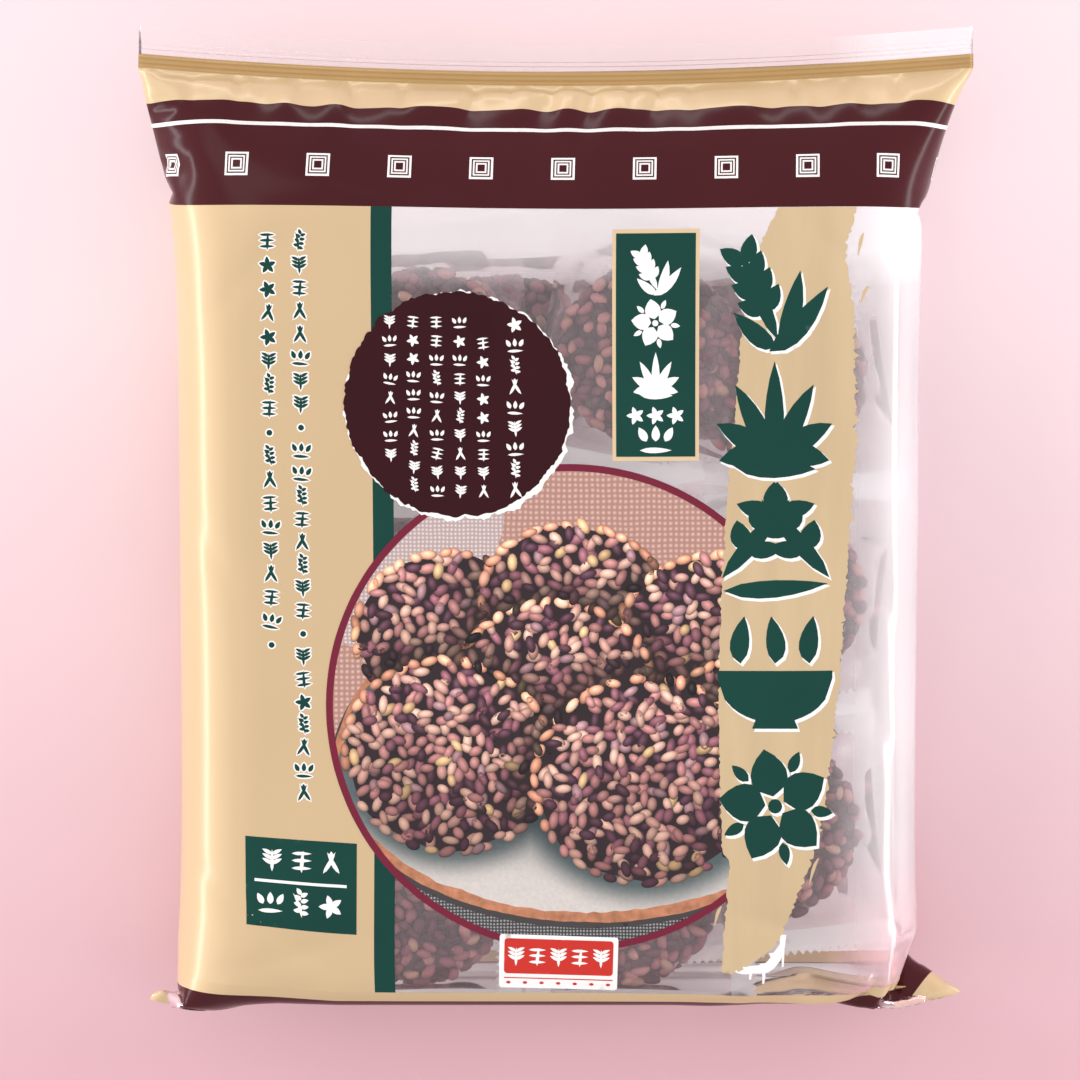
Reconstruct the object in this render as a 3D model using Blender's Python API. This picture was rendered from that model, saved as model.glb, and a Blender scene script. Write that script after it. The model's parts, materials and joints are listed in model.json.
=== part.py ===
"""Sealed pack of rice crackers: one closed pillow of film, lying on its back.

+Z is the printed front, +Y the top seal, and z = 0 is what the pack lies on.
The film is a tube whose girth never changes, so wherever the pack is thinner it is wider.
The top closes in a gable that ends in a flat fin with crimp ribs across it. The bottom end is
pressed nearly square, as on a pack that has stood on it: its fin is folded back against it,
and at each corner the spare width of the tube sticks out as an ear.
"""

import math

import bmesh
import bpy
from mathutils import Vector

MM = 0.001

# Driving dimensions.
FLAT_WIDTH = 226 * MM  # the tube pressed flat
PACK_LENGTH = 270 * MM  # over all, from the lower ear's tip to the fin's end
BODY_THICKNESS = 46 * MM
BODY_SHIFT = -1.75 * MM  # the body lies a little to one side of the seals' middle
TOP_FIN_LENGTH = 12 * MM
BOTTOM_FIN_LENGTH = 10 * MM
SEAL_THICKNESS = 1.2 * MM  # welded film, drawn thick enough to be a sound solid
GABLE_LENGTH = 33 * MM  # from the full body to the top seal, at the middle of the width
GABLE_FULLNESS = 0.8  # under 1 is a rounder shoulder, 1 is a quarter of a cosine
SEAL_BOW = 5 * MM  # how much further out the top seal's ends are than its middle
CRIMP_RIBS = 3
CRIMP_PITCH = 1.3 * MM
CRIMP_HEIGHT = 0.5 * MM
END_SLANT = math.radians(12)  # how far the pressed end leans under the front
END_RADIUS = 6 * MM  # roll of the film round the pressed end's edge
LEFT_EAR_TIP = (-111 * MM, -135 * MM)  # x and y
RIGHT_EAR_TIP = (112 * MM, -130 * MM)
EAR_DEPTH = 9 * MM  # how far up the body's side an ear starts

# How finely the solid is faceted.
FLAT_STEPS = 20
SIDE_STEPS = 12
GABLE_RINGS = 14
BODY_RINGS = 8
EDGE_RINGS = 5

MID_Z = BODY_THICKNESS / 2
TOP_END = PACK_LENGTH / 2
SEAL_Y = TOP_END - TOP_FIN_LENGTH - SEAL_BOW
GABLE_Y = SEAL_Y - GABLE_LENGTH
BOTTOM_Y = -130 * MM  # the front's lower edge

CREAM_GOLD = (0.70, 0.50, 0.27, 1.0)


def width_at(thickness):
    """Width of the tube where two half rounds of this thickness close its sides."""
    return FLAT_WIDTH - (math.pi / 2 - 1) * thickness


def section(width, thickness):
    """Points (x, z) round a section: flat front, round side, flat back, round side."""
    radius = thickness / 2
    straight = width / 2 - radius
    points = []
    for way in (1, -1):
        for step in range(FLAT_STEPS):
            along = -straight + 2 * straight * step / FLAT_STEPS
            points.append((way * along, way * radius))
        for step in range(SIDE_STEPS):
            turn = math.pi * step / SIDE_STEPS
            x = straight + radius * math.sin(turn)
            points.append((way * x, way * radius * math.cos(turn)))
    return points


def ring(y, thickness, bow=0.0, slant=0.0, inset=0.0, shift=BODY_SHIFT):
    """One section of the pack as points in space.

    bow carries the ends of the section outwards, slant leans it under the front, and inset
    shrinks it all round.
    """
    half_width = width_at(thickness) / 2
    made = []
    for x, z in section(2 * (half_width - inset), thickness - 2 * inset):
        lean = (MID_Z - z) * math.tan(slant)
        made.append(Vector((x + shift, y + bow * (x / half_width) ** 2 + lean, MID_Z + z)))
    return made


def eased(share):
    """0 to 1 with a level start and end."""
    return share * share * (3 - 2 * share)


def bottom_rings():
    """The film rolling round the edge of the pressed end, from the end's face outwards."""
    rings = []
    for step in range(EDGE_RINGS + 1):
        turn = math.pi / 2 * step / EDGE_RINGS
        inset = END_RADIUS * (1 - math.sin(turn))
        y = BOTTOM_Y + END_RADIUS * (1 - math.cos(turn))
        rings.append(ring(y, BODY_THICKNESS, slant=END_SLANT, inset=inset))
    return rings


def body_rings():
    """The even part of the body, whose first rings still lean with the pressed end."""
    start = BOTTOM_Y + 3 * END_RADIUS
    rings = []
    for step in range(BODY_RINGS + 1):
        y = start + (GABLE_Y - start) * step / BODY_RINGS
        slant = END_SLANT * eased(max(0.0, 1 - 2 * step / BODY_RINGS))
        rings.append(ring(y, BODY_THICKNESS, slant=slant))
    return rings


def gable_rings():
    """The body flattening and widening to the top seal, whose ends run further out."""
    rings = []
    for step in range(1, GABLE_RINGS + 1):
        share = step / GABLE_RINGS
        left = math.cos(share * math.pi / 2) ** GABLE_FULLNESS if step < GABLE_RINGS else 0.0
        thickness = SEAL_THICKNESS + (BODY_THICKNESS - SEAL_THICKNESS) * left
        y = GABLE_Y + GABLE_LENGTH * share
        rings.append(ring(y, thickness, bow=SEAL_BOW * eased(share), shift=BODY_SHIFT * (1 - share)))
    return rings


def fin_rings():
    """The top fin: ribs where it is crimped, then plain to its end."""
    rings = []
    for rib in range(CRIMP_RIBS):
        for share, thickness in ((0.5, SEAL_THICKNESS + 2 * CRIMP_HEIGHT), (1.0, SEAL_THICKNESS)):
            y = SEAL_Y + (rib + share) * CRIMP_PITCH
            rings.append(ring(y, thickness, bow=SEAL_BOW, shift=0.0))
    rings.append(ring(SEAL_Y + TOP_FIN_LENGTH, SEAL_THICKNESS, bow=SEAL_BOW, shift=0.0))
    return rings


def cap(shape, loop):
    """Closes a section: a strip between its front and its back, and its two round ends."""
    half = FLAT_STEPS + SIDE_STEPS
    front = loop[: FLAT_STEPS + 1]
    back = [loop[(half + FLAT_STEPS - step) % len(loop)] for step in range(FLAT_STEPS + 1)]
    for step in range(FLAT_STEPS):
        shape.faces.new((front[step], front[step + 1], back[step + 1], back[step]))
    shape.faces.new(loop[FLAT_STEPS : half + 1])
    shape.faces.new(loop[half + FLAT_STEPS :] + loop[:1])


def skin(shape, rings):
    """Skins the rings in turn and closes both ends."""
    loops = [[shape.verts.new(point) for point in points] for points in rings]
    count = len(loops[0])
    for lower, upper in zip(loops, loops[1:]):
        for i in range(count):
            j = (i + 1) % count
            shape.faces.new((lower[i], lower[j], upper[j], upper[i]))
    cap(shape, loops[0])
    cap(shape, loops[-1])


def hull(shape, points):
    """Adds the convex solid round some points."""
    for point in points:
        shape.verts.new(point)
    made = bmesh.ops.convex_hull(shape, input=shape.verts)
    spare = {item for item in made["geom_interior"] + made["geom_unused"] if isinstance(item, bmesh.types.BMVert)}
    bmesh.ops.delete(shape, geom=list(spare), context="VERTS")


def new_object(name, fill, points):
    """An object named name, whose closed mesh fill makes from the points, facing out."""
    shape = bmesh.new()
    fill(shape, points)
    bmesh.ops.recalc_face_normals(shape, faces=shape.faces)
    mesh = bpy.data.meshes.new(name)
    shape.to_mesh(mesh)
    shape.free()
    made = bpy.data.objects.new(name, mesh)
    bpy.context.scene.collection.objects.link(made)
    return made


def end_face_y(z):
    """Where the pressed end's face is at height z."""
    return BOTTOM_Y + (BODY_THICKNESS - z) * math.tan(END_SLANT)


def ear_points(tip):
    """An ear: it narrows from the corner of the body to the end of the bottom seal."""
    tip_x, tip_y = tip
    side = math.copysign(1, tip_x)
    root = side * width_at(BODY_THICKNESS) / 2 + BODY_SHIFT
    half_seal = SEAL_THICKNESS / 2
    points = []
    for dy in (0, SEAL_THICKNESS):
        for dz in (-half_seal, half_seal):
            points.append(Vector((tip_x, tip_y + dy, MID_Z + dz)))
    for z, inward in ((5 * MM, 17 * MM), (MID_Z, 1 * MM), (BODY_THICKNESS - 4 * MM, 17 * MM)):
        for rise in (0.5 * MM, EAR_DEPTH):
            back = side * (inward + rise)
            points.append(Vector((root - back, end_face_y(z) + rise, z)))
    return points


def bottom_fin_points():
    """The bottom fin, folded back against the pressed end and narrowing at its corners."""
    half = width_at(BODY_THICKNESS) / 2
    points = []
    for z, trim in ((MID_Z, 0), (MID_Z - BOTTOM_FIN_LENGTH, 3 * MM)):
        for side in (-1, 1):
            for lift in (-SEAL_THICKNESS, 0.5 * MM):
                points.append(Vector((side * (half - trim) + BODY_SHIFT, end_face_y(z) + lift, z)))
    return points


def unite(body, pieces):
    """Unites the pieces with the body, which is then the only solid left."""
    for piece in pieces:
        union = body.modifiers.new("union_" + piece.name, "BOOLEAN")
        union.operation = "UNION"
        union.solver = "EXACT"
        union.object = piece
        piece.hide_render = True
        piece.display_type = "WIRE"


def film_material():
    made = bpy.data.materials.new("printed_film")
    made.use_nodes = True
    shader = made.node_tree.nodes["Principled BSDF"]
    shader.inputs["Base Color"].default_value = CREAM_GOLD
    shader.inputs["Roughness"].default_value = 0.3
    shader.inputs["Metallic"].default_value = 0.0
    return made


def main():
    for old in list(bpy.data.objects):
        bpy.data.objects.remove(old)
    pack = new_object("pack", skin, bottom_rings() + body_rings() + gable_rings() + fin_rings())
    pack.data.materials.append(film_material())
    pack.data.shade_smooth()
    pack.data.set_sharp_from_angle(angle=math.radians(40))
    left_ear = new_object("left_ear", hull, ear_points(LEFT_EAR_TIP))
    right_ear = new_object("right_ear", hull, ear_points(RIGHT_EAR_TIP))
    bottom_fin = new_object("bottom_fin", hull, bottom_fin_points())
    unite(pack, (left_ear, right_ear, bottom_fin))


main()
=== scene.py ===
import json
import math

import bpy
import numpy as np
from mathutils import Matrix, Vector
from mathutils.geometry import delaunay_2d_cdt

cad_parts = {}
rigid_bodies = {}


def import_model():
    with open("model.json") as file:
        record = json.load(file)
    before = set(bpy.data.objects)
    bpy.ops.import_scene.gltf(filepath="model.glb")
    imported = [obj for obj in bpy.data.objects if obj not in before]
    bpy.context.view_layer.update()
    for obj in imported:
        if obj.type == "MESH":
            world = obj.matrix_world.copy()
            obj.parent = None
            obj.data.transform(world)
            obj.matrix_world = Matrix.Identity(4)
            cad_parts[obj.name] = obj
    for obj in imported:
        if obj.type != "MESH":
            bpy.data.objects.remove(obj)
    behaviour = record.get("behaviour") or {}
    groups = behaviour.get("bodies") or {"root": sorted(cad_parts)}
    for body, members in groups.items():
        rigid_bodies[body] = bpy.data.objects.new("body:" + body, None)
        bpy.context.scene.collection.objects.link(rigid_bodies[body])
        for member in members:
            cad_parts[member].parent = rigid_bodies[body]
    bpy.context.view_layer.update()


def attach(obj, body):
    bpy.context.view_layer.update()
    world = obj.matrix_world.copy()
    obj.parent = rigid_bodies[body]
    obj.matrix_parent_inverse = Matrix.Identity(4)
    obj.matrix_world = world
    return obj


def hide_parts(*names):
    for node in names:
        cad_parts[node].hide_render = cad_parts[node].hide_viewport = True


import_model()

# Sealed clear pack of wrapped rice crackers, lying on its back, front up and top seal at +Y.
#
# The film is a tube relaxed like cloth that doesn't stretch: air presses it out, the contents
# hold it flat and the seals hold it shut. Everything printed on it is a field of ink laid on
# the relaxed film by the film's own coordinates: u runs round the tube from the middle of the
# front, v runs up from the bottom seal. Lengths are in millimetres until a mesh is made.

MM = 0.001

# The film tube, from the bottom seal up.
GIRTH = 452.0
HALF_FLAT = GIRTH / 4
END = 23.5  # bottom seal to the front's lower edge
FRONT = 211.5
GABLE = 38.5
FIN = 11.2
SEAL_V = END + FRONT + GABLE
LENGTH = SEAL_V + FIN

# Where the relaxed film is held.
THICK = 46.0
MID = THICK / 2
BOTTOM_Y = -133.5
SLANT = math.tan(math.radians(6))  # the pressed end leans under the front
SHIFT = -1.75  # the body lies a little to one side of the seals' middle
SEAL_Y = 118.6
BOW = 5.0  # how much further out the top seal's ends are than its middle
ROLL = 7.5  # radius of the rims that round the pressed end's edges
DENT = np.array([-118.0, 98.0, 53.0])  # the corner that is pushed in, upper left
DENT_RADIUS = 26.5


# ---------------------------------------------------------------- relaxing the film


def smooth(low, high, x):
    """0 below low, 1 above high, and a level start and end between them."""
    q = np.clip((x - low) / (high - low), 0, 1)
    return q * q * (3 - 2 * q)


def bowed(x):
    """How much further out the top seal is at x than at its middle."""
    return BOW * (x / HALF_FLAT) ** 2


def gable_half(x, y):
    """Half the thickness that the front may reach above the middle, near the top seal."""
    ys = [60, 84, 88, 92, 97, 102, 107, 112, 116, 118.8]
    halves = [23, 23, 22.7, 21.6, 19.4, 16.6, 13.3, 9.7, 6.2, 3.0]
    return np.interp(y - bowed(x), ys, halves)


def ceiling(x, y):
    """Height that the contents and the air let the front reach."""
    half = gable_half(x, y)
    full = half / MID
    low_end = np.clip(-y - 60, 0, None) / 70
    height = MID + half - full * (2.2 * ((x - SHIFT) / 95) ** 2 + 1.2 * low_end**2)
    height += full * 0.45 * np.sin(x / 13 + 1.2 * np.sin(y / 31)) * np.sin(y / 17 + 0.8)
    height += full * 0.35 * np.sin((x + 0.6 * y) / 23 + 2)
    bevel = np.clip(0.30 * (x - 60) - (y + 117), 0, None) * smooth(40, 80, x)
    return height - 0.45 * bevel


def underside(x, y):
    """Height of the film's underside where it rises to the top seal."""
    ys = [60, 97, 101, 105, 109, 113, 116, 118.8]
    return MID - np.interp(y - bowed(x), ys, [23, 23, 22, 20, 17, 13, 9, 4])


def end_plane(x, z):
    """How far down the end of the pack may reach: further out below its front's corners."""
    corner = 7.5 * smooth(76, 98, -x) - 4 * smooth(98, 112, -x) + 5 * smooth(66, 92, x)
    return BOTTOM_Y + (THICK - z) * SLANT - corner * (1 - smooth(24, 40, z))


def rolls():
    """Rounded rims that keep the film off the sharp edges of the pressed end."""

    def rim(x, z):
        return np.array([x, BOTTOM_Y + (THICK - z) * SLANT + ROLL + 0.2, z])

    upper = [(-88, 34.0), (-60, 36.8), (50, 36.8), (82, 30.0)]
    runs = [*zip(upper, upper[1:]), ((-86, 9.5), (80, 9.5))]
    return [(rim(*a), rim(*b)) for a, b in runs]


def loft(count_u, count_v):
    """The tube before it is relaxed: sections of the right girth from seal to seal."""
    ys = np.linspace(SEAL_Y - 33, SEAL_Y, 60)
    halves = gable_half(0.0, ys) - 3 * np.clip((ys - 112) / (SEAL_Y - 112), 0, 1)
    arc = np.concatenate([[0], np.cumsum(np.hypot(np.diff(ys), np.diff(halves)))])
    around = np.arange(count_u) * GIRTH / count_u
    grid = np.empty((count_v + 1, count_u, 3))
    for row in range(count_v + 1):
        v = row * LENGTH / count_v
        bow = lean = 0.0
        if v <= END:
            thick, y, lean = THICK * v / END, BOTTOM_Y + 0.5, 1.0
        elif v <= END + FRONT:
            share = (v - END) / FRONT
            thick, y = THICK, BOTTOM_Y + 0.5 + share * (SEAL_Y - 33 - BOTTOM_Y)
            lean = max(0.0, 1 - 2 * share)
        elif v <= SEAL_V:
            bow = (v - END - FRONT) / GABLE
            y = np.interp(bow * arc[-1], arc, ys)
            thick = 2 * np.interp(y, ys, halves)
        else:
            thick, y, bow = 0.4, SEAL_Y + v - SEAL_V, 1.0
        r = max(0.4, thick) / 2
        width = GIRTH / 2 - (math.pi - 2) * r
        flat = width / 2 - r
        quarter = math.pi * r / 2
        # The section's corners by arc length, and between them straight runs and round sides.
        s = (around + quarter) % GIRTH
        on_left = s < 2 * quarter
        on_front = (s >= 2 * quarter) & (s < 2 * quarter + 2 * flat)
        on_right = (s >= 2 * quarter + 2 * flat) & (s < 4 * quarter + 2 * flat)
        turn_l = (s - quarter) / r
        turn_r = (s - 2 * quarter - 2 * flat) / r
        x = np.select(
            [on_left, on_front, on_right],
            [-flat - r * np.cos(turn_l), -flat + s - 2 * quarter, flat + r * np.sin(turn_r)],
            flat - (s - 4 * quarter - 2 * flat),
        )
        z = np.select([on_left, on_front, on_right], [r * np.sin(turn_l), r, r * np.cos(turn_r)], -r)
        grid[row, :, 0] = x + SHIFT * min(1.0, thick / THICK)
        grid[row, :, 1] = y + BOW * bow * (2 * x / width) ** 2 + (MID - z) * SLANT * lean
        grid[row, :, 2] = z + MID
    return grid


def pull(a, b, rest, when_long, when_short):
    """Moves two sets of points towards their resting distance from each other."""
    d = b - a
    far = np.sqrt(np.einsum("ijk,ijk->ij", d, d)) + 1e-9
    share = (far - rest) / far
    share *= np.where(share > 0, 0.5 * when_long, 0.5 * when_short)
    d *= share[..., None]
    a += d
    b -= d


def unfold(a, b, rest):
    """Opens a fold between points two cells apart: gently, and firmly once it is sharp."""
    d = b - a
    far = np.sqrt(np.einsum("ijk,ijk->ij", d, d)) + 1e-9
    push = np.where(far < 0.7 * rest, 0.25 * (far - 0.7 * rest), 0.0)
    push += np.where(far < rest, 0.03 * (far - rest), 0.0)
    d *= (push / far)[..., None]
    a += d
    b -= d


def keep_lengths(grid, du, dv):
    """One pass over the film's threads, its diagonals and its bends."""
    diagonal = math.hypot(du, dv)
    pull(grid[0:-1:2], grid[1::2], dv, 1.0, 0.5)
    pull(grid[1:-1:2], grid[2::2], dv, 1.0, 0.5)
    for first in range(4):
        lower = grid[first : len(grid) - 2 : 4]
        unfold(lower, grid[first + 2 :: 4][: len(lower)], 2 * dv)
    for turn in range(3):
        if turn < 2:
            pull(grid[:, 0::2], grid[:, 1::2], du, 1.0, 0.5)
            pull(grid[:-1, 0::2], grid[1:, 1::2], diagonal, 0.4, 0.15)
            pull(grid[1:, 0::2], grid[:-1, 1::2], diagonal, 0.4, 0.15)
            if turn == 0:
                unfold(grid[:, 0::4], grid[:, 2::4], 2 * du)
                unfold(grid[:, 1::4], grid[:, 3::4], 2 * du)
            grid = np.roll(grid, -1, axis=1)
        else:
            unfold(grid[:, 0::4], grid[:, 2::4], 2 * du)
            unfold(grid[:, 1::4], grid[:, 3::4], 2 * du)
    return np.roll(grid, 2, axis=1)


def relax(grid, steps, pressure):
    """Lets the film settle between the air inside, the contents and the seals."""
    rows, columns = grid.shape[:2]
    du, dv = GIRTH / columns, LENGTH / (rows - 1)
    u, v = np.arange(columns) * du - HALF_FLAT, np.arange(rows) * dv
    flat_x = np.where(u <= HALF_FLAT, u, 2 * HALF_FLAT - u)
    mirror = (columns - np.arange(columns)) % columns
    fin = np.where(v >= SEAL_V - 0.6 * dv)[0]
    body, low = (v > 15) & (v < 235), v < 60
    # The left side is creased flat below the top seal, and so stays wide.
    creased = (v > 236) & (v < SEAL_V)
    crease_x = -103.5 - 9 * ((v[creased] - 236) / (SEAL_V - 236)) ** 0.7
    rims = rolls()
    speed = np.zeros_like(grid)
    for step in range(steps):
        across = np.roll(grid, -1, axis=1) - np.roll(grid, 1, axis=1)
        along = np.empty_like(grid)
        along[1:-1] = grid[2:] - grid[:-2]
        along[0], along[-1] = grid[1] - grid[0], grid[-1] - grid[-2]
        speed += pressure * min(1.0, (step + 1) / 60) * np.cross(across, along) / (4 * du * dv)
        speed *= 0.97
        before = grid.copy()
        grid = keep_lengths(grid + speed, du, dv)
        for row in fin:
            grid[row] = 0.5 * (grid[row] + grid[row][mirror])
            grid[row, :, 0] += 0.5 * (flat_x * 0.998 - grid[row, :, 0])
            grid[row, :, 1] = SEAL_Y + v[row] - SEAL_V + bowed(flat_x)
            grid[row, :, 2] += 0.5 * (MID + 0.6 * np.sin(flat_x / 19 + 1) - grid[row, :, 2])
        grid[0] = 0.5 * (grid[0] + grid[0][mirror])
        grid[0, :, 0] += 0.5 * (flat_x * 0.995 - grid[0, :, 0])
        grid[0, :, 2] = MID
        grid[creased, 0, 0] += 0.5 * np.minimum(0, crease_x - grid[creased, 0, 0])
        grid[body, :, 0] += 0.03 * (SHIFT - grid[body, :, 0].mean(1))[:, None]
        x, y, z = grid[..., 0], grid[..., 1], grid[..., 2]
        np.maximum(z, 0.0, out=z)
        z += 0.3 * np.clip(underside(x, y) - z, 0, None)
        z -= 0.3 * np.clip(z - ceiling(x, y), 0, None)
        np.maximum(y, end_plane(x, z), out=y)
        near = grid[low]
        for a, b in rims:
            share = np.clip(((near - a) @ (b - a)) / ((b - a) @ (b - a)), 0, 1)
            away = near - (a + share[..., None] * (b - a))
            far = np.sqrt((away**2).sum(-1)) + 1e-9
            inside = far < ROLL
            near[inside] += away[inside] * (ROLL / far[inside] - 1)[:, None]
        grid[low] = near
        away = grid - DENT
        far = np.sqrt((away**2).sum(-1))
        inside = far < DENT_RADIUS
        grid[inside] += away[inside] * (DENT_RADIUS / far[inside] - 1)[:, None]
        speed = grid - before
    return grid


def refine(grid):
    """Twice as fine both ways, with new points on the curve through their neighbours."""

    def halfway(a, b, c, d):
        return (9 * (b + c) - a - d) / 16

    rows, columns = grid.shape[:2]
    wide = np.empty((rows, 2 * columns, 3))
    wide[:, 0::2] = grid
    wide[:, 1::2] = halfway(*(np.roll(grid, by, 1) for by in (1, 0, -1, -2)))
    padded = np.concatenate([2 * wide[:1] - wide[1:2], wide, 2 * wide[-1:] - wide[-2:-1]])
    fine = np.empty((2 * rows - 1, 2 * columns, 3))
    fine[0::2] = wide
    fine[1::2] = halfway(padded[:-3], padded[1:-2], padded[2:-1], padded[3:])
    return fine


def relaxed_film():
    rng = np.random.default_rng(5)
    grid = loft(100, 65)
    grid = relax(grid + rng.normal(0, 0.15, grid.shape), 1000, 0.010)
    grid = refine(grid)
    return relax(grid + rng.normal(0, 0.03, grid.shape), 600, 0.0035)


# ---------------------------------------------------------------- the film as a surface


def curve_weights(t):
    """Weights of four neighbours on the smooth curve through the middle two."""
    return (
        0.5 * (-t + 2 * t**2 - t**3),
        0.5 * (2 - 5 * t**2 + 3 * t**3),
        0.5 * (t + 4 * t**2 - 3 * t**3),
        0.5 * (t**3 - t**2),
    )


# Tucks gathered at the top seal: x of each, and how deep it is.
TUCKS = (
    (-98.5, 0.7), (-86, 1.2), (-68.5, 0.8), (-55, 1.1), (-41.3, 1.2), (-21.3, 1.3),
    (-12.4, 0.8), (-0.5, 1.0), (10, 1.3), (20, 0.8), (28, 1.2), (36.5, 0.8), (64.5, 1.2),
    (78.3, 0.7), (92, 1.3),
)
RIB_PITCH = 1.25

# Soft creases in the front: from u, v to u, v, then depth and half width.
CREASES = (
    (-97, 52, -62, 30, 0.7, 4.0), (-88, 26, -50, 38, 0.6, 3.5), (-60, 62, -50, 30, 0.5, 4.0),
    (-98, 150, -84, 128, 0.4, 5.0), (-90, 205, -70, 228, 0.5, 5.0), (-58, 236, -40, 222, 0.5, 4.0),
    (20, 232, 48, 222, 0.5, 4.0), (62, 236, 84, 216, 0.6, 4.0), (52, 44, 92, 36, 1.1, 3.5),
    (70, 60, 94, 40, 0.7, 4.0), (-20, 236, -8, 216, 0.4, 4.0), (84, 150, 94, 120, 0.5, 4.0),
    (82, 110, 95, 84, 0.5, 4.0), (-30, 28, 10, 24, 0.4, 3.0),
)


class Surface:
    """The relaxed film, read anywhere by u and v."""

    def __init__(self, grid):
        first, last = 2 * grid[:1] - grid[1:2], 2 * grid[-1:] - grid[-2:-1]
        self.grid = np.concatenate([first, grid, last])
        self.columns = grid.shape[1]
        self.rows = grid.shape[0]

    def base(self, u, v):
        across = (u + HALF_FLAT) / GIRTH * self.columns
        along = np.clip(v / LENGTH * (self.rows - 1), 0, self.rows - 1 - 1e-6)
        i, j = np.floor(across).astype(int), np.floor(along).astype(int)
        weights_u, weights_v = curve_weights(across - i), curve_weights(along - j)
        point = np.zeros(np.shape(u) + (3,))
        for a in range(4):
            for b in range(4):
                share = weights_v[a] * weights_u[b]
                point += share[..., None] * self.grid[j + a, (i + b - 1) % self.columns]
        return point

    def normal(self, u, v):
        step = 0.9
        across = self.base(u + step, v) - self.base(u - step, v)
        along = self.base(u, v + step) - self.base(u, v - step)
        n = np.cross(across, along)
        size = np.sqrt((n**2).sum(-1))[..., None]
        # At the fin's folded sides the front meets the back, and outwards is sideways.
        side = np.zeros_like(n)
        side[..., 0] = np.where(np.abs(u % GIRTH - HALF_FLAT) < 3, 1.0, -1.0)
        return np.where(size > 0.5, n / np.maximum(size, 1e-6), side)

    def place(self, u, v, lift=0.0):
        """Points on the film, or lifted off it, with its ribs and tucks."""
        u, v = np.broadcast_arrays(np.asarray(u, float), np.asarray(v, float))
        point, normal = self.base(u, v), self.normal(u, v)
        back = (u + HALF_FLAT) % GIRTH > 2 * HALF_FLAT
        x = np.where(back, 2 * HALF_FLAT - u % GIRTH, (u + HALF_FLAT) % GIRTH - HALF_FLAT)
        below = SEAL_V - v
        dent = np.zeros_like(u)
        near = (below > 0) & (below < 26)
        for k, (tuck_x, deep) in enumerate(TUCKS):
            drift = tuck_x + 0.12 * below * math.sin(2.3 * k)
            wide = 1.0 + 0.16 * below
            shape = np.exp(-(((x - drift) / wide) ** 2)) * below / 2.5 * np.exp(-below / 5.0)
            dent += np.where(near, 1.2 * deep * shape, 0.0)
        swell = np.where(near, 0.7 * np.sin(x / 3.1 + 2 * np.sin(x / 11)), 0.0)
        swell = swell * np.exp(-((below - 9) ** 2) / 40)
        for u0, v0, u1, v1, deep, wide in CREASES:
            du, dv = u1 - u0, v1 - v0
            share = np.clip(((u - u0) * du + (v - v0) * dv) / (du**2 + dv**2), 0, 1)
            far = np.hypot(u - u0 - share * du, v - v0 - share * dv) / wide
            dent += deep * np.exp(-(far**1.5)) * np.sin(np.pi * (0.12 + 0.76 * share))
        # The two sheets of the fin lie just apart.
        apart = 0.13 * smooth(SEAL_V - 2, SEAL_V, v)
        point = point + normal * (lift + apart - dent + swell)[..., None]
        ribs = (v - SEAL_V - 0.3) / RIB_PITCH
        ribbed = (ribs > 0) & (ribs < 6)
        point[..., 2] += np.where(ribbed, 0.28 * np.sin(2 * np.pi * ribs), 0.0)
        point[..., 2] += np.where(v > SEAL_V, 0.10 * (v - SEAL_V) * np.sin(x / 37 + 0.5), 0.0)
        return point


# ---------------------------------------------------------------- materials


def feed(tree, node, sockets):
    """Gives each socket named its value, or a link if that is another node's output."""
    for socket, value in sockets.items():
        if isinstance(value, bpy.types.NodeSocket):
            tree.links.new(value, node.inputs[socket])
        else:
            node.inputs[socket].default_value = value


def added(tree, kind, sockets=None, output=0, **settings):
    """Adds a shader node with those settings and sockets, and gives one of its outputs."""
    node = tree.nodes.new("ShaderNode" + kind)
    for name, value in settings.items():
        setattr(node, name, value)
    feed(tree, node, sockets or {})
    return node.outputs[output]


def shader_of(name):
    made = bpy.data.materials.new(name)
    made.use_nodes = True
    tree = made.node_tree
    return made, tree, tree.nodes["Principled BSDF"]


def ramp_along(tree, axis, start, end, most=1.0):
    """Rises from 0 to most between two places on an axis of the pack, in metres."""
    place = added(tree, "TexCoord", output="Object")
    along = added(tree, "SeparateXYZ", {"Vector": place}, output=axis)
    return added(tree, "MapRange", {"Value": along, "From Min": start, "From Max": end, "To Max": most})


def noise_of(tree, scale, stretch=(1, 1, 1)):
    place = added(tree, "TexCoord", output="Object")
    place = added(tree, "Mapping", {"Vector": place, "Scale": stretch})
    return added(tree, "TexNoise", {"Vector": place, "Scale": scale, "Detail": 3.0}, output="Fac")


def worked_out(tree, operation, first, second):
    return added(tree, "Math", {0: first, 1: second}, operation=operation)


def mixed(tree, factor, low, high, blend="MIX"):
    """A colour between two, each of them a colour or another node's output."""
    ends = [end if isinstance(end, bpy.types.NodeSocket) else (*end, 1) for end in (low, high)]
    sockets = {"Factor": factor, "A": ends[0], "B": ends[1]}
    return added(tree, "Mix", sockets, output="Result", data_type="RGBA", blend_type=blend)


def ink(name, colour, rough=0.28, metal=0.0, vary=0.05, scale=35, stretch=(1, 1, 1), gloss=0.5, coat=0.0):
    """Ink printed inside glossy film: a slightly uneven colour under a smooth face."""
    made, tree, shader = shader_of(name)
    low = [c * (1 - vary) for c in colour]
    high = [min(1.0, c * (1 + vary)) for c in colour]
    feed(tree, shader, {
        "Base Color": mixed(tree, noise_of(tree, scale, stretch), low, high),
        "Roughness": rough,
        "Metallic": metal,
        "Specular IOR Level": gloss,
        "Coat Weight": coat,
        "Coat Roughness": 0.15,
    })
    return made


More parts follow.
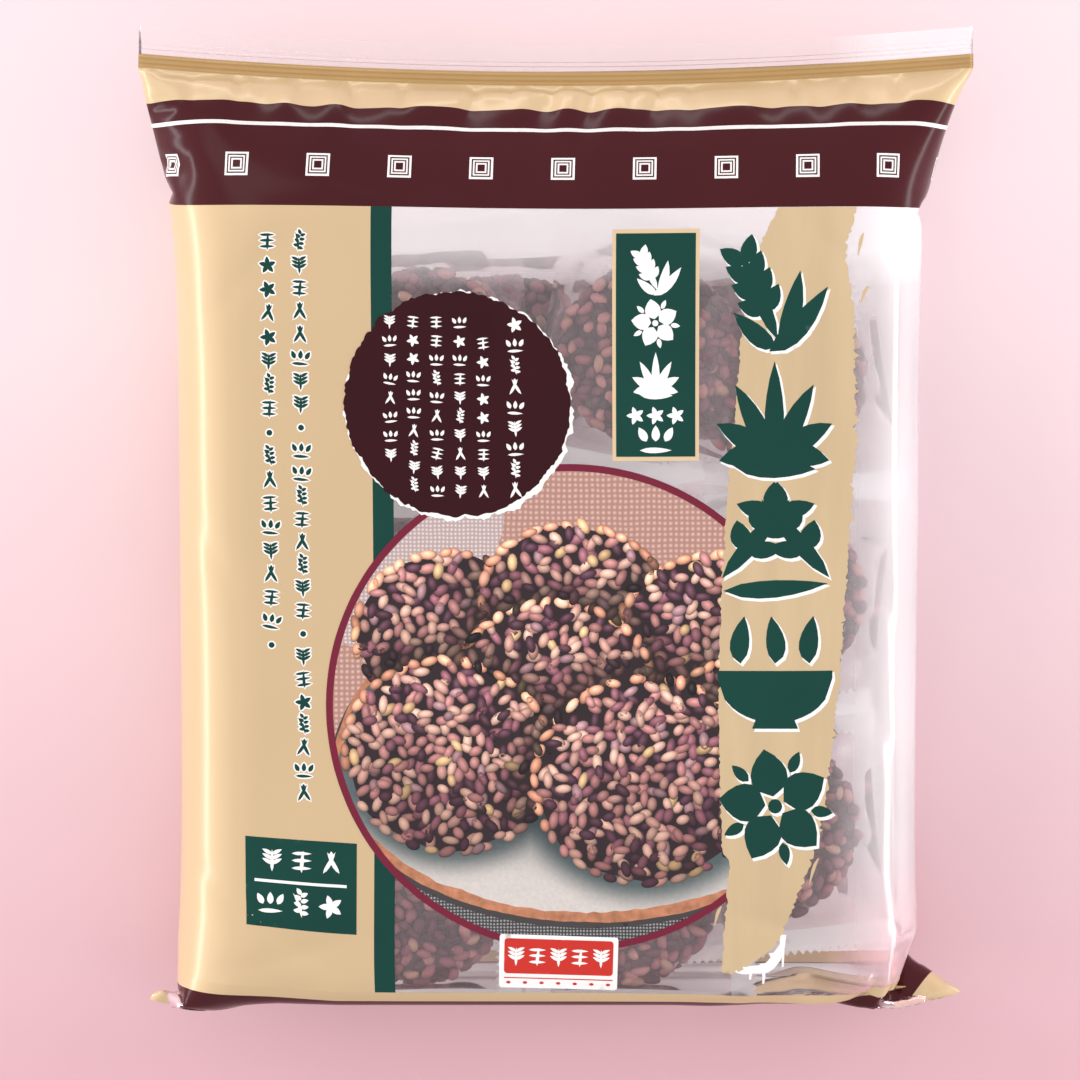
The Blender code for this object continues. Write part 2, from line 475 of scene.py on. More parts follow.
def woven(name, dark, light, pitch):
    """A picture of cloth: two sets of threads over and under each other."""
    made, tree, shader = shader_of(name)
    place = added(tree, "TexCoord", output="Object")
    wave = {"Vector": place, "Scale": 1 / (pitch * MM * 3.2), "Distortion": 1.5, "Detail": 2}
    waves = [added(tree, "TexWave", wave, output="Fac", bands_direction=axis) for axis in "XY"]
    threads = worked_out(tree, "MULTIPLY", *waves)
    feed(tree, shader, {"Base Color": mixed(tree, threads, dark, light), "Roughness": 0.3})
    return made


def tinted(name, rough, coat=0.0, bump=0.0):
    """Takes its colour from the mesh's own point colours."""
    made, tree, shader = shader_of(name)
    colour = added(tree, "VertexColor", output="Color", layer_name="tint")
    noise = noise_of(tree, 900)
    grey = mixed(tree, noise, (0.86, 0.86, 0.86), (1.14, 1.12, 1.1))
    tone = mixed(tree, 1.0, colour, grey, "MULTIPLY")
    feed(tree, shader, {"Base Color": tone, "Roughness": rough, "Coat Weight": coat})
    if bump:
        relief = added(tree, "Bump", {"Height": noise, "Strength": bump, "Distance": 0.0003})
        feed(tree, shader, {"Normal": relief})
    return made


def clear(name, haze, colour, rough=0.06, ior=1.6, side=0.0, top=0.0, low=None, through_glow=0.5):
    """Clear film: see-through, a little milky, and mirroring at a slant.

    side and top are how much milkier it is on its right side and under the brown band, a
    painted glare that stands in for the sheen of the lamps there, low is its colour towards the
    bottom end, and through_glow is how much of the milk is lit from behind.
    """
    made, tree, shader = shader_of(name)
    tone = (*colour, 1)
    if low is not None:
        tone = mixed(tree, ramp_along(tree, "Y", -0.122, -0.088), low, colour)
    feed(tree, shader, {"Base Color": tone, "Roughness": 0.5})
    glow = added(tree, "BsdfTranslucent", {"Color": tone})
    milk = added(tree, "MixShader", {0: through_glow, 1: shader.outputs[0], 2: glow})
    spread = {"Value": noise_of(tree, 30), "To Min": haze * 0.7, "To Max": haze * 1.3}
    amount = added(tree, "MapRange", spread)
    # Painted glare: extra milk on the right side, where the film turns away and would catch the lamps.
    if side:
        amount = worked_out(tree, "ADD", amount, ramp_along(tree, "X", 0.074, 0.090, side))
    # Painted glare: extra milk in a band under the brown band.
    if top:
        rise, fall = ramp_along(tree, "Y", 0.066, 0.076, top), ramp_along(tree, "Y", 0.108, 0.100)
        amount = worked_out(tree, "ADD", amount, worked_out(tree, "MULTIPLY", rise, fall))
    inner = added(tree, "MixShader", {0: amount, 1: added(tree, "BsdfTransparent"), 2: milk})
    gloss = added(tree, "BsdfGlossy", {"Roughness": rough, "Color": (1, 1, 1, 1)})
    outer = added(tree, "MixShader", {0: added(tree, "Fresnel", {"IOR": ior}), 1: inner, 2: gloss})
    feed(tree, tree.nodes["Material Output"], {"Surface": outer})
    return made


# ---------------------------------------------------------------- meshes


def new_piece(name, points, faces, material, colours=None, second=None):
    """A mesh of points in millimetres on the frame's root.

    second is another material, and for each face whether it has that one.
    """
    mesh = bpy.data.meshes.new(name)
    mesh.from_pydata((np.asarray(points) * MM).tolist(), [], [list(f) for f in faces])
    mesh.update()
    if colours is not None:
        tint = mesh.color_attributes.new("tint", "FLOAT_COLOR", "POINT")
        rgba = np.ones((len(points), 4), np.float32)
        rgba[:, :3] = colours
        tint.data.foreach_set("color", rgba.ravel())
    mesh.shade_smooth()
    mesh.materials.append(material)
    if second is not None:
        mesh.materials.append(second[0])
        mesh.polygons.foreach_set("material_index", np.asarray(second[1], np.int32))
    made = bpy.data.objects.new(name, mesh)
    bpy.context.scene.collection.objects.link(made)
    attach(made, "root")
    return made


def grid_faces(rows, columns, closed=False):
    """Quads of a grid whose points are listed row by row."""
    index = np.arange(rows * columns).reshape(rows, columns)
    right = np.roll(index, -1, axis=1) if closed else index[:, 1:]
    left = index if closed else index[:, :-1]
    return np.stack([left[:-1], right[:-1], right[1:], left[1:]], -1).reshape(-1, 4)


# The film's own lines: evenly spaced round it, and up it closer at the tucks and the ribs.
FILM_U = 376
FILM_STEP = GIRTH / FILM_U
ALL_U = np.arange(-FILM_U // 2, 3 * FILM_U // 2) * FILM_STEP
TUCKS_V, RIBS_END = 256, SEAL_V + 8
ALL_V = np.concatenate([
    np.arange(0, TUCKS_V, 1.6),
    np.arange(TUCKS_V, SEAL_V, 0.9),
    np.arange(SEAL_V, RIBS_END, 0.28),
    np.linspace(RIBS_END + 0.2, LENGTH, 4),
])


def lines_between(low, high, lines):
    """The film's own lines between two ends, and the ends."""
    inner = lines[(lines > low + 0.2) & (lines < high - 0.2)]
    return np.concatenate([[low], inner, [high]])


class Layer:
    """Everything printed in one ink at one height over the film."""

    def __init__(self, name, material, lift):
        self.name, self.material, self.lift = name, material, lift
        self.spots, self.faces, self.colours, self.lifts, self.count = [], [], [], [], 0

    def add(self, spots, faces, colours=None, lift=0.0):
        spots = np.asarray(spots, float)
        self.spots.append(spots)
        self.faces.extend([[int(i) + self.count for i in face] for face in faces])
        self.lifts.append(np.full(len(spots), lift))
        if colours is not None:
            self.colours.append(np.asarray(colours, float))
        self.count += len(spots)
        return self

    def build(self):
        spots = np.concatenate(self.spots)
        lifts = np.concatenate(self.lifts) + self.lift
        colours = np.concatenate(self.colours) if self.colours else None
        points = film.place(spots[:, 0], spots[:, 1], lifts)
        return new_piece(self.name, points, self.faces, self.material, colours)


def block(u0, u1, v0, v1):
    """A rectangle on the film's own lines."""
    us, vs = lines_between(u0, u1, ALL_U), lines_between(v0, v1, ALL_V)
    uu, vv = np.meshgrid(us, vs)
    return np.stack([uu.ravel(), vv.ravel()], -1), grid_faces(len(vs), len(us))


def fan(outline):
    """A small outline filled from its middle."""
    outline = np.asarray(outline, float)
    n = len(outline)
    spots = np.concatenate([outline, outline.mean(0)[None]])
    return spots, [(i, (i + 1) % n, n) for i in range(n)]


def within(spots, outlines):
    """Which spots lie inside any of the outlines."""
    inside = np.zeros(len(spots), bool)
    for outline in outlines:
        hit = np.zeros(len(spots), bool)
        for (x0, y0), (x1, y1) in zip(outline, np.roll(outline, -1, 0)):
            crossed = (y0 > spots[:, 1]) != (y1 > spots[:, 1])
            if y0 != y1:
                x = x0 + (spots[:, 1] - y0) * (x1 - x0) / (y1 - y0)
                hit ^= crossed & (spots[:, 0] < x)
        inside |= hit
    return inside


def filled(*outlines, step=1.6):
    """One or more outlines filled as a whole with triangles no larger than the film's."""
    outlines = [evenly(outline, step) for outline in outlines]
    points, edges = [], []
    for outline in outlines:
        first, n = len(points), len(outline)
        points.extend(Vector((float(u), float(v))) for u, v in outline)
        edges.extend((first + i, first + (i + 1) % n) for i in range(n))
    bounds = np.concatenate(outlines)
    (u0, v0), (u1, v1) = bounds.min(0), bounds.max(0)
    us, vs = ALL_U[(ALL_U > u0) & (ALL_U < u1)], ALL_V[(ALL_V > v0) & (ALL_V < v1)]
    uu, vv = np.meshgrid(us[::2], vs)
    inner = np.stack([uu.ravel(), vv.ravel()], -1)
    inner = inner[within(inner, outlines)]
    keep = np.ones(len(inner), bool)
    for start in range(0, len(bounds), 200):
        gap = inner[:, None] - bounds[None, start : start + 200]
        keep &= (gap**2).sum(-1).min(1) > 0.4
    points.extend(Vector((float(u), float(v))) for u, v in inner[keep])
    verts, _, faces, _, _, _ = delaunay_2d_cdt(points, edges, [], 0, 1e-4, False)
    spots = np.array([(p.x, p.y) for p in verts])
    faces = np.array([f for f in faces if len(f) == 3])
    faces = faces[within(spots[faces].mean(1), outlines)]
    return spots, faces.tolist()


def evenly(outline, step):
    """The same closed outline with no gap between points larger than step."""
    outline = np.asarray(outline, float)
    made = []
    for a, b in zip(outline, np.roll(outline, -1, 0)):
        n = max(1, math.ceil(math.hypot(*(b - a)) / step))
        made.extend(a + (b - a) * k / n for k in range(n))
    return np.array(made)


def rotated(x, y, angle):
    c, s = math.cos(angle), math.sin(angle)
    return c * x - s * y, s * x + c * y


def oval(u, v, a, b, n=64, turn=0.0):
    t = np.arange(n) * 2 * np.pi / n
    x, y = rotated(a * np.cos(t), b * np.sin(t), turn)
    return np.stack([u + x, v + y], -1)


def leaf(length, width, bend=0.0, n=7):
    """Outline of a leaf from the origin along +y, bent to one side."""
    t = np.linspace(0, 1, n)
    half = 0.5 * width * np.sin(np.pi * t**0.8) ** 0.8
    mid = bend * length * t**2
    left = np.stack([mid - half, length * t], -1)
    right = np.stack([mid + half, length * t], -1)
    return np.concatenate([left, right[-2:0:-1]])[::-1]


def turned(outline, angle, at=(0.0, 0.0)):
    x, y = rotated(*np.asarray(outline).T, angle)
    return np.stack([at[0] + x, at[1] + y], -1)


def blade(length, width, angle, at=(0.0, 0.0), bend=0.0):
    """A leaf turned by an angle, with its foot at a place."""
    return turned(leaf(length, width, bend), angle, at)


def stroke(path, widths, n=14):
    """A brush stroke through a few points, with its width at each, as spots and faces."""
    path = np.asarray(path, float)
    t = np.linspace(0, len(path) - 1, n)
    padded = np.concatenate([2 * path[:1] - path[1:2], path, 2 * path[-1:] - path[-2:-1]])
    i = np.minimum(np.floor(t).astype(int), len(path) - 2)
    w = curve_weights(t - i)
    mid = sum(w[a][:, None] * padded[i + a] for a in range(4))
    along = np.gradient(mid, axis=0)
    along /= np.sqrt((along**2).sum(-1))[:, None] + 1e-9
    wide = np.interp(t, np.arange(len(path)), widths)[:, None]
    side = np.stack([-along[:, 1], along[:, 0]], -1) * wide / 2
    return np.concatenate([mid + side, mid - side]), [(i, n + i, n + i + 1, i + 1) for i in range(n - 1)]


def grown(outline, by):
    """An outline made larger all round by about that much."""
    outline = np.asarray(outline, float)
    ahead = np.roll(outline, -1, 0) - np.roll(outline, 1, 0)
    ahead /= np.sqrt((ahead**2).sum(-1))[:, None] + 1e-9
    out = np.stack([ahead[:, 1], -ahead[:, 0]], -1)
    x, y = outline.T
    area = 0.5 * np.sum(x * np.roll(y, -1) - np.roll(x, -1) * y)
    return outline + by * out * math.copysign(1, area)


# ---------------------------------------------------------------- motifs


def motif(kind, size):
    """Outlines of a small plant motif that fills a square of that size about the origin."""
    r = size / 2
    flat = -math.pi / 2
    if kind == 0:  # upright sprig
        made = [blade(1.9 * r, 0.30 * r, 0, (0, -r))]
        for y in (-0.45, -0.05, 0.35):
            for side in (-1, 1):
                made.append(blade(0.95 * r, 0.34 * r, -side * 0.95, (0, (y + 0.1) * r), 0.12 * side))
        return made
    if kind == 1:  # five petals
        return [blade(0.95 * r, 0.5 * r, 2 * math.pi * k / 5 + 0.3) for k in range(5)]
    if kind == 2:  # three grains over a stroke
        fans = ((0.5, -1), (0, 0), (-0.5, 1))
        made = [blade(0.95 * r, 0.5 * r, angle, (0.55 * x * r, -0.1 * r)) for angle, x in fans]
        return made + [blade(1.9 * r, 0.34 * r, flat, (-0.95 * r, -0.62 * r))]
    if kind == 3:  # crossed leaves and a grain
        made = [blade(2.1 * r, 0.36 * r, s * 0.62, (s * 0.7 * r, -0.85 * r), 0.1 * s) for s in (1, -1)]
        return made + [blade(0.7 * r, 0.4 * r, 0, (0, 0.35 * r))]
    if kind == 4:  # drooping ear
        made = [blade(2.0 * r, 0.26 * r, 0.1, (0.1 * r, -r), -0.25)]
        for k in range(4):
            made.append(blade(0.62 * r, 0.36 * r, 1.5 - 0.3 * k, (0.05 * r, (-0.45 + 0.42 * k) * r)))
            made.append(blade(0.62 * r, 0.36 * r, -1.7 + 0.2 * k, (0.0, (-0.6 + 0.42 * k) * r)))
        return made
    # three bars tied by a leaf
    made = [blade(1.7 * r, 0.3 * r, flat, (-0.85 * r, y * r)) for y in (0.7, 0.1, -0.55)]
    return made + [blade(1.9 * r, 0.32 * r, 0, (0, -0.95 * r), 0.08)]


KINDS = 6
EDGE = 0.4  # how much wider a small motif's pale edge is
OVERLAP = 0.003  # height between the parts of a motif that overlap


def put_motif(kind, size, at, face, edge=None, turn=0.0):
    """Prints a motif on one layer, with a wider copy of it on another below."""
    for k, outline in enumerate(motif(kind, size)):
        outline = turned(outline, turn, at)
        face.add(*fan(outline), lift=OVERLAP * k)
        if edge is not None:
            edge.add(*fan(grown(outline, EDGE)), lift=OVERLAP * k)


def fitted(outlines, width, height):
    """The outlines stretched to fill a box about the origin."""
    spots = np.concatenate(outlines)
    low, high = spots.min(0), spots.max(0)
    scale = np.array([width, height]) / (high - low)
    return [(np.asarray(o) - (low + high) / 2) * scale for o in outlines]


def ear_of_rice(length, pairs, grain=(8.0, 4.6)):
    """A stem with grains on both sides, about the origin."""
    made = [blade(length, 4.2, 0, (0, -length / 2))]
    for k in range(pairs):
        t = (k + 0.5) / pairs
        y = length * (0.72 * t - 0.28)
        for way in (-1, 1):
            made.append(blade(*grain, -way * (0.8 - 0.3 * t), (way * 0.4, y), 0.05 * way))
    return made


def big_motifs():
    """Five large motifs of broad strokes, each in a box about 31 by 31."""
    flat, fifth = -math.pi / 2, 2 * math.pi / 5
    drooping = [turned(part, 0.42, (-5, 2)) for part in ear_of_rice(26, 4)]
    drooping += [
        blade(23, 6.2, -1.0, (-2, -13), -0.25),
        blade(15, 5.4, 1.1, (0, -12), 0.2),
        blade(21, 5.6, -0.42, (1, -12), -0.16),
    ]
    spray = [
        blade(27 - 3.5 * abs(k), 6.6, -0.5 * k, (0.6 * k, -13 + abs(k)), 0.06 * k) for k in range(-3, 4)
    ]
    spray.append(blade(28, 6.4, flat, (-14, -13.0), 0.04))
    ear = ear_of_rice(27, 3, (8.6, 5.0))
    crossed = [turned(part, 0.62 * way, (4.5 * way, 2)) for way in (-1, 1) for part in ear]
    crossed += [blade(24, 5.0, flat, (-12, -12.5), -0.08), blade(9, 5.4, 0, (0, 3))]
    bottom = [(x, -13 + 12 * (1 - math.sqrt(max(0.0, 1 - (x / 15) ** 2)))) for x in np.linspace(-15, 15, 17)]
    bowl = [np.array(bottom + [(15, 1.0), (-15, 1.0)])]
    bowl.append(np.array([(-6, -14.6), (6, -14.6), (5, -12), (-5, -12)]))
    bowl += [blade(12.5, 5.2, 0.14 * way, (x, 3.0), 0.22 * way) for x, way in ((-9, 1), (0, -1), (9, 1))]
    flower = []
    for long, wide, turn, far in ((12.5, 10.0, 0.2, 2.6), (6.0, 3.0, 0.83, 9.6)):
        for k in range(5):
            angle = fifth * k + turn
            flower.append(blade(long, wide, angle, (-far * math.sin(angle), far * math.cos(angle))))
    flower.append(oval(0, 0, 1.9, 1.9, 12))
    boxes = ((drooping, 29, 31), (spray, 31, 31), (crossed, 29, 31), (bowl, 31, 30), (flower, 31, 31))
    return [fitted(*box) for box in boxes]


# ---------------------------------------------------------------- the print

BROWN_LOW, BROWN_HIGH = 233.8, 262.9
GREEN = (-48.0, -42.4)
PANEL_BACK = -160.0  # the cream panel wraps round the left side to here
WINDOW_LOW = 22.5
FOOT_BROWN = (9.5, 19.2)


def print_blocks(name, ink_of, lift, *blocks):
    """A layer of plain blocks."""
    layer = Layer(name, ink_of, lift)
    for limits in blocks:
        layer.add(*block(*limits))
    return layer.build()


ALL_ROUND = (-HALF_FLAT, 3 * HALF_FLAT)
LINE_V, LINE_HALF = 256.4, 0.55
SQUARES_U, SQUARES_PITCH, SQUARES_V = -84.3, 21.75, 244.8
SQUARE_HALF, HEART_HALF = 3.15, 0.98
RINGS = ((2.57, 2.21), (1.77, 1.45))


def print_bands(inks):
    """The bands that run round the pack, the cream panel and the green stripe."""
    panel = (WINDOW_LOW, BROWN_LOW)
    print_blocks(
        "print_cream", inks["gold"], 0.10,
        (*ALL_ROUND, BROWN_HIGH, SEAL_V), (PANEL_BACK, GREEN[0], *panel),
        (*ALL_ROUND, FOOT_BROWN[1], WINDOW_LOW), (*ALL_ROUND, 0, FOOT_BROWN[0]),
    )
    # The back's own panel, which also shows through the windows.
    print_blocks("print_back_panel", inks["pale"], -0.12, (128, GIRTH + PANEL_BACK, *panel))
    brown = (*ALL_ROUND, BROWN_LOW, BROWN_HIGH), (*ALL_ROUND, *FOOT_BROWN)
    print_blocks("print_brown", inks["brown"], 0.10, *brown)
    print_blocks("print_crimp", inks["crimp"], 0.10, (*ALL_ROUND, SEAL_V, SEAL_V + 3.1 * RIB_PITCH))
    print_blocks("print_green_strip", inks["green"], 0.10, (*GREEN, *panel))
    white = Layer("print_band_marks", inks["white"], 0.15)
    dark = Layer("print_band_rings", inks["brown"], 0.24)
    spots = [np.stack([ALL_U, 0 * ALL_U + LINE_V + way * LINE_HALF], -1) for way in (-1, 1)]
    white.add(np.concatenate(spots), grid_faces(2, len(ALL_U)))

    def box(layer, u, v, half_u, half_v):
        layer.add(*block(u - half_u, u + half_u, v - half_v, v + half_v))

    for k in range(-1, 20):  # all the way round
        u, v = SQUARES_U + SQUARES_PITCH * k, SQUARES_V
        box(white, u, v, SQUARE_HALF, SQUARE_HALF)
        for outer, inner in RINGS:
            middle, half = (outer + inner) / 2, (outer - inner) / 2
            for side in (-1, 1):
                box(dark, u + side * middle, v, half, outer)
                box(dark, u, v + side * middle, outer, half)
        box(dark, u, v, HEART_HALF, HEART_HALF)
    white.build()
    dark.build()


def ragged(outline, rng, rough, passes=3):
    """An outline with torn edges: wander along it, smoothed in passes, plus small teeth."""
    n = len(outline)
    wander = rng.normal(0, 1, n)
    for _ in range(passes):
        wander = 0.25 * np.roll(wander, 1) + 0.5 * wander + 0.25 * np.roll(wander, -1)
    wander = wander / wander.std() * rough * 0.6 + rng.normal(0, rough * 0.4, n)
    return outline + (grown(outline, 1) - outline) * wander[:, None]


def resampled(points, step):
    """An open run of points, evenly spaced."""
    points = np.asarray(points, float)
    far = np.concatenate([[0], np.cumsum(np.sqrt((np.diff(points, axis=0) ** 2).sum(-1)))])
    at = np.linspace(0, far[-1], max(4, int(far[-1] / step)))
    return np.stack([np.interp(at, far, points[:, k]) for k in (0, 1)], -1)


STRIP_LEFT = (
    (60.2, 233.7), (54.3, 221.6), (50.6, 199.8), (49.0, 178.1), (47.4, 163.5), (45.5, 135.6),
    (44.5, 103.6), (45.3, 63.2), (47.4, 58.9), (45.0, 29.2),
)
STRIP_RIGHT = (
    (81.3, 233.7), (78.6, 224.1), (79.2, 216.0), (81.0, 206.0), (81.6, 172.5), (80.2, 151.5),
    (79.2, 136.8), (77.8, 116.4), (76.0, 95.3), (73.0, 71.8), (70.4, 62.7), (67.4, 54.6),
    (63.4, 44.6), (59.9, 37.0), (53.5, 32.6), (48.5, 29.0),
)


# Stray strokes of the brush beside the strip: from u to u, and from v to v.
STRAY_STROKES = ((81.8, 83.2, 221, 227), (82.6, 85, 208.5, 213), (69, 71.6, 54, 61), (43.2, 45.2, 42, 47.5))


def print_strip(inks):
    """The brushed strip on the right, with its five large motifs."""
    rng = np.random.default_rng(11)
    left, right = resampled(STRIP_LEFT, 0.8), resampled(STRIP_RIGHT, 0.8)
    left[2:, 0] += rng.normal(0, 0.22, len(left) - 2)
    right[2:, 0] += rng.normal(0, 0.35, len(right) - 2)
    right[2:, 1] += rng.normal(0, 0.25, len(right) - 2)
    outline = np.concatenate([left, right[::-1]])
    strip = Layer("print_strip", inks["brushed"], 0.34)
    strip.add(*filled(outline))
    for u0, u1, v0, v1 in STRAY_STROKES:
        strip.add(*stroke([(u1, v1), ((u0 + u1) / 2, (v0 + v1) / 2 + 1), (u0, v0)], [0.3, 1.1, 0.2], 6))
    strip.build()
    under = Layer("print_strip_edge", inks["white"], 0.31)
    low = [(46.5, 34), (49.5, 30.4), (53.5, 30.2), (57.5, 31), (60.5, 35), (62.5, 40)]
    under.add(*stroke(low, [1.5, 2.4, 2.2, 2.8, 2.4, 0.5], 24))
    for u, v, drop in ((52.5, 31, 3.6), (56.0, 32, 5.8), (58.6, 35, 4.0), (61.3, 40, 9.0)):
        under.add(*stroke([(u, v), (u + 0.3, v - drop / 2), (u + 0.1, v - drop)], [1.5, 0.9, 0.5], 7))
    under.build()
    face = Layer("print_large_motifs", inks["green"], 0.42)
    edge = Layer("print_large_motif_edges", inks["white"], 0.38)
    centres = ((59.3, 211.4), (59.6, 177.8), (60.0, 145.8), (59.8, 110.6), (60.0, 74.6))
    for centre, outlines in zip(centres, big_motifs()):
        outlines = [outline + np.array(centre) for outline in outlines]
        face.add(*filled(*outlines))
        edge.add(*filled(*(grown(outline, 0.2) + np.array([0.55, -0.65]) for outline in outlines)))
    face.build()
    edge.build()


def print_column(u, high, low, pitch, size, rng, face, edge=None, lean=0.1, dots=0):
    """A column of small motifs; if dots is given, every so many of them is a plain dot."""
    count = int((high - low) / pitch)
    for k in range(count + 1):
        v = high - (high - low) * k / count
        if dots and k % dots == dots - 1:
            face.add(*fan(oval(u, v, 0.8, 0.8, 10)))
            edge.add(*fan(oval(u, v, 1.2, 1.2, 10)))
            continue
        kind = int(rng.integers(0, KINDS))
        put_motif(kind, size, (u, v), face, edge, rng.normal(0, lean))


def print_small(inks):
    """The columns of small motifs on the cream panel, the labels and the green plate."""
    rng = np.random.default_rng(3)
    face = Layer("print_small_motifs", inks["green"], 0.19)
    edge = Layer("print_small_motif_edges", inks["white"], 0.15)
    for u, low in ((-67.0, 76.5), (-75.5, 116.5)):
        print_column(u, 224.3, low, 6.15, 4.9, rng, face, edge, 0.08, 9)
    face.build()
    edge.build()
    print_blocks("print_plate_frame", inks["cream"], 0.10, (16.2, 39.4, 167.0, 228.4))
    fill = Layer("print_green_plates", inks["green"], 0.15)
    fill.add(*block(17.2, 38.4, 168.1, 227.3))
    label = [(-82.9, 64.4), (-52.7, 63.2), (-52.7, 38.2), (-82.6, 40.0)]
    fill.add(*filled(label[::-1]))
    fill.build()
    white = Layer("print_plate_motifs", inks["white"], 0.20)
    for which, size, v in ((0, 13.5, 217.6), (4, 13.0, 203.4), (1, 12.5, 189.6)):
        outlines = fitted(big_motifs()[which], size, size)
        white.add(*filled(*(outline + np.array([27.8, v]) for outline in outlines)))
    for k in range(3):
        put_motif(1, 5.2, (22.4 + 5.4 * k, 179.0), white)
    put_motif(2, 9.0, (27.8, 172.6), white)
    for k, kind in enumerate((0, 5, 3)):
        put_motif(kind, 6.4, (-75.6 + 8.0 * k, 58.2 - 0.3 * k), white)
    white.add(*stroke([(-80.3, 52.6), (-55.4, 51.4)], [0.8, 0.8], 14))
    for k, kind in enumerate((2, 4, 1)):
        put_motif(kind, 7.0, (-76.0 + 8.2 * k, 46.4 - 0.3 * k), white)
    white.build()


def print_label(inks):
    """The small white label with a red bar at the bottom of the front."""
    tilt = math.radians(-1.2)
    middle = (1.7, 31.3)

    def rounded(half_u, half_v, radius, n=5):
        corners = []
        for k, (su, sv) in enumerate(((1, 1), (-1, 1), (-1, -1), (1, -1))):
            a = np.linspace(k, k + 1, n) * math.pi / 2
            us = su * (half_u - radius) + radius * np.cos(a)
            corners.append(np.stack([us, sv * (half_v - radius) + radius * np.sin(a)], -1))
        return np.concatenate(corners)

    def centred(outline, dv=0.0):
        return turned(outline + np.array([0, dv]), tilt, middle)

    Layer("print_label", inks["white"], 0.45).add(*filled(centred(rounded(15.9, 7.4, 0.8)))).build()
    red = Layer("print_label_red", inks["red"], 0.50)
    red.add(*filled(centred(rounded(14.6, 4.85, 0.9), 1.45)))
    red.add(*stroke(centred(np.array([(-14.6, 0.0), (14.6, 0.0)]), -4.6), [0.3, 0.3], 12))
    for k in range(7):
        red.add(*fan(centred(oval(-13.4 + 4.47 * k, 0, 0.62, 0.42, 8), -5.9)))
    red.build()
    white = Layer("print_label_motifs", inks["white"], 0.55)
    for k in range(5):
        for outline in motif(5 if k % 2 else 0, 5.4):
            white.add(*fan(centred(outline + np.array([5.7 * (k - 2), 0]), 1.45)))
    white.build()


def print_disc(inks):
    """The torn brown disc with columns of small grain marks."""
    rng = np.random.default_rng(8)
    centre = (-25.3, 181.7)
    round_edge = oval(*centre, 30.2, 29.9, 230)
    torn = ragged(round_edge + np.array([0.7, -0.6]), rng, 0.55, 2) + (round_edge - centre) * 0.012
    Layer("print_disc_edge", inks["white"], 0.34).add(*filled(torn)).build()
    Layer("print_disc", inks["disc"], 0.39).add(*filled(ragged(round_edge, rng, 0.4))).build()
    marks = Layer("print_disc_marks", inks["white"], 0.44)
    for u, high, low, size in (
        (-9.7, 203.0, 159.0, 4.5), (-18.2, 198.0, 158.5, 3.7), (-24.4, 203.5, 158.5, 3.7),
        (-30.6, 203.5, 158.5, 3.7), (-36.8, 203.5, 160.0, 3.7), (-43.0, 203.5, 168.0, 3.7),
    ):
        print_column(u, high, low, size * 1.22, size, rng, marks)
    marks.build()


# ---------------------------------------------------------------- the printed picture

PICTURE = np.array([5.0, 100.2])
PICTURE_R = 66.0


def ray_to_oval(angles, start, a, b, turn=0.0):
    """Distance from a start to an oval about the origin, along rays at those angles."""
    across, along = rotated(np.cos(angles), np.sin(angles), -turn)
    x, y = rotated(*start, -turn)
    dx, dy, ox, oy = across / a, along / b, x / a, y / b
    p, q, r = dx**2 + dy**2, ox * dx + oy * dy, ox**2 + oy**2 - 1
    return (-q + np.sqrt(np.maximum(q**2 - p * r, 0))) / p


def clipped(about, a, b, turn=0.0, offset=(0.0, 0.0), limit=PICTURE_R - 1.2, n=160):
    """Outline of an oval cut off by the picture's round edge, as seen from about."""
    angles = np.arange(n) * 2 * np.pi / n
    about = np.asarray(about, float)
    oval_far = ray_to_oval(angles, about - np.asarray(offset), a, b, turn)
    far = np.minimum(oval_far, ray_to_oval(angles, about, limit, limit))
    return PICTURE + about + far[:, None] * np.stack([np.cos(angles), np.sin(angles)], -1)


# Crackers of the picture, from the back: middle, radius, flattening and turn.
PICTURED = (
    (-34.0, 21.0, 24.5, 0.86, 0.2), (1.0, 29.0, 25.5, 0.82, -0.1), (37.0, 20.0, 25.5, 0.86, 0.3),
    (-5.0, 5.0, 27.5, 0.88, 0.1), (45.0, -8.0, 24.0, 0.90, 0.2), (-33.0, -13.0, 28.5, 0.92, -0.2),
    (20.0, -19.0, 30.5, 0.92, 0.15),
)


def grain_spots(u, v, a, b, turn, colour, light):
    """A grain as rings of points, lighter towards its upper left."""
    outer = oval(0, 0, a, b, 12, turn)
    inner = oval(0, 0, 0.66 * a, 0.62 * b, 12, turn) + np.array([-0.12, 0.18]) * b
    spots = np.concatenate([outer, inner, [[-0.2 * b, 0.28 * b]]]) + np.array([u, v])
    faces = grid_faces(2, 12, closed=True).tolist()
    faces += [(12 + i, 12 + (i + 1) % 12, 24) for i in range(12)]
    # The side away from the light is in shade.
    shade = 0.36 + 0.22 * (outer @ np.array([-0.5, 0.85])) / max(a, b)
    rim = colour * shade[:, None]
    tints = np.concatenate([rim, np.tile(colour, (12, 1)), [colour * (1.35 + 0.5 * light) + 0.05 * light]])
    return spots, faces, np.clip(tints, 0, 0.95)


GOLDEN_ANGLE = 2.39996  # spreads grains evenly over a disc
PICTURED_RIM = 40  # grains along a pictured cracker's rim
UNDER_STRIP = 50  # the brushed strip hides the picture from this u on

# Colours of the pictured grains, and how often each is used.
GRAIN_INKS = (
    ((0.66, 0.39, 0.31), 5), ((0.55, 0.29, 0.24), 6), ((0.43, 0.19, 0.18), 5),
    ((0.27, 0.10, 0.13), 4), ((0.085, 0.03, 0.05), 5), ((0.66, 0.42, 0.22), 1), ((0.36, 0.20, 0.22), 2),
)


def one_of(palette, rng):
    """One of the colours, drawn by how often each is used."""
    often = np.array([share for _, share in palette], float)
    return np.array(palette[rng.choice(len(often), p=often / often.sum())][0])


